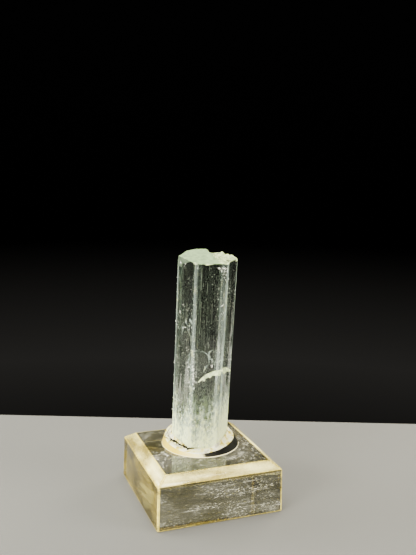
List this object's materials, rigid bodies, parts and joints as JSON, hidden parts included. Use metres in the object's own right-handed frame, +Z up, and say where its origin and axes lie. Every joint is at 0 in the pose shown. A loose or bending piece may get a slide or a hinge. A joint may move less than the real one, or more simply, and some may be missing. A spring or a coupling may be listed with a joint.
{
  "type": "mounted aquamarine crystal specimen",
  "caption": "Slim hexagonal aquamarine prism, clear and pale blue-green, glued upright by a milky pad on a square bevelled clear acrylic display base.",
  "frame": {"origin": "centre of the underside of the acrylic base, on the surface it stands on", "axes": "+Z up, along the crystal's length; X and Y square to the base's sides; the crystal leans a little towards -Y"},
  "size_m": [0.0318, 0.0318, 0.0626],
  "materials": {
    "aquamarine": "natural prism faces, clear with veils, frosted end face",
    "mounting_glue": "set clear glue, milky",
    "clear_acrylic": "cast and polished, slightly yellowed"
  },
  "bodies": {
    "root": {"aquamarine_crystal": "aquamarine", "glue_pad": "mounting_glue", "acrylic_base": "clear_acrylic"}
  },
  "joints": []
}
